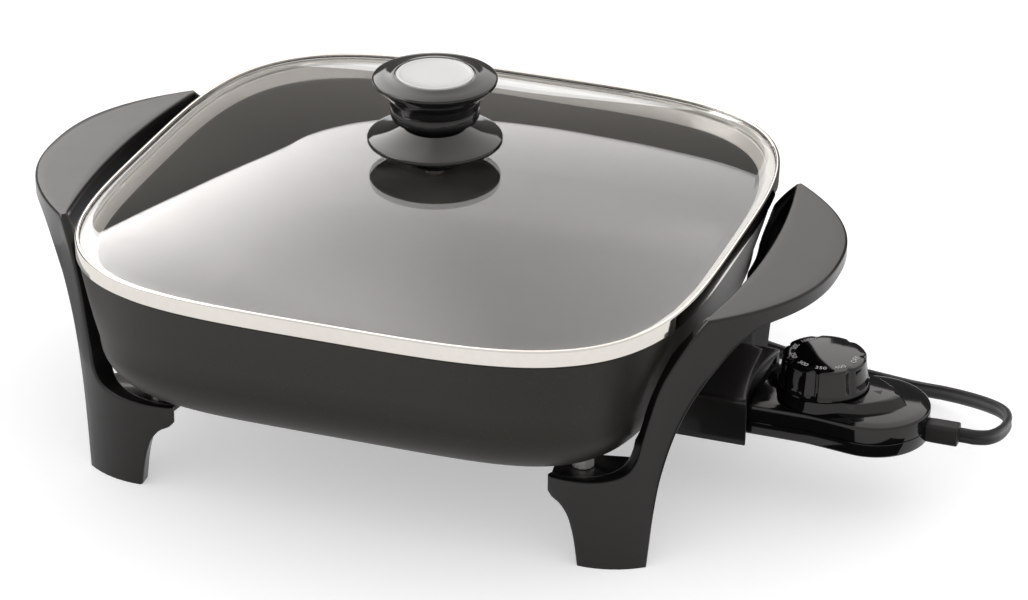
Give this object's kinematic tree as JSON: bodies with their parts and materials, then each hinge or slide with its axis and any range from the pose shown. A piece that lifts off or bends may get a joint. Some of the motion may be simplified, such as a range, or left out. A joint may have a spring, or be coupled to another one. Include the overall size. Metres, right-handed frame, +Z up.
{
  "type": "electric skillet",
  "caption": "Square electric skillet with a lift-off domed glass lid, a central knob, handles that run down into legs, and a plug-in heat control with a dial and flat cord.",
  "frame": {"origin": "centre of the footprint of the skillet and its heat control, on the surface that it stands on, without the cord", "axes": "+Z up, +X towards the heat control, -Y towards the side that faces the camera"},
  "size_m": [0.475, 0.4085, 0.184],
  "materials": {
    "dark_coating": "dark non-stick coating with a fine metallic fleck",
    "black_moulding": "glossy black phenolic",
    "polished_steel": "polished",
    "screw_steel": "zinc plated",
    "element_sheath": "heat darkened sheath",
    "lid_glass": "clear tempered",
    "ceramic": "unglazed steatite",
    "brass": "stamped",
    "rubber": "satin",
    "badge_silver": "fine satin"
  },
  "bodies": {
    "base": {"pan": "dark_coating", "left_handle_leg": "black_moulding", "right_handle_leg": "black_moulding", "terminal_guard": "black_moulding", "leg_spacer_left_front": "polished_steel", "leg_spacer_left_rear": "polished_steel", "leg_spacer_right_front": "polished_steel", "leg_spacer_right_rear": "polished_steel", "leg_screw_left_front": "screw_steel", "leg_screw_left_rear": "screw_steel", "leg_screw_right_front": "screw_steel", "leg_screw_right_rear": "screw_steel", "guard_screw_front": "screw_steel", "guard_screw_rear": "screw_steel", "heating_element": "element_sheath", "terminal_pin_front": "screw_steel", "terminal_pin_rear": "screw_steel", "terminal_bushing_front": "ceramic", "terminal_bushing_rear": "ceramic"},
    "lid": {"lid_glass": "lid_glass", "lid_rim": "polished_steel", "lid_seal": "rubber", "knob_gasket_top": "rubber", "knob_gasket_under": "rubber", "knob_guard_disc": "black_moulding", "knob_body": "black_moulding", "knob_badge": "badge_silver", "knob_washer": "screw_steel", "knob_screw": "screw_steel"},
    "control": {"control_upper_housing": "black_moulding", "control_lower_housing": "black_moulding", "housing_screw_front": "screw_steel", "housing_screw_rear": "screw_steel", "probe_rod": "polished_steel", "female_terminal_front": "brass", "female_terminal_rear": "brass", "switch_frame": "screw_steel", "switch_block": "ceramic", "contact_arm": "brass", "fixed_contact": "brass", "strain_relief": "rubber", "cord_free": "rubber", "cord_coil": "rubber", "cord_tie": "rubber", "plug_body": "rubber", "plug_blade_front": "polished_steel", "plug_blade_rear": "polished_steel"},
    "dial": {"dial_knob": "black_moulding", "dial_shaft": "screw_steel"}
  },
  "joints": [
    {"name": "lid_lift", "type": "slide", "parent": "base", "child": "lid", "axis": [0, 0, 1], "range_m": [0, 0.12]},
    {"name": "control_pull", "type": "slide", "parent": "base", "child": "control", "axis": [1, 0, 0], "range_m": [0, 0.12]},
    {"name": "dial_turn", "type": "hinge", "parent": "control", "child": "dial", "pos_m": [0.16945, 0, 0.06], "axis": [0, 0, 1], "range_deg": [0, 300]}
  ]
}
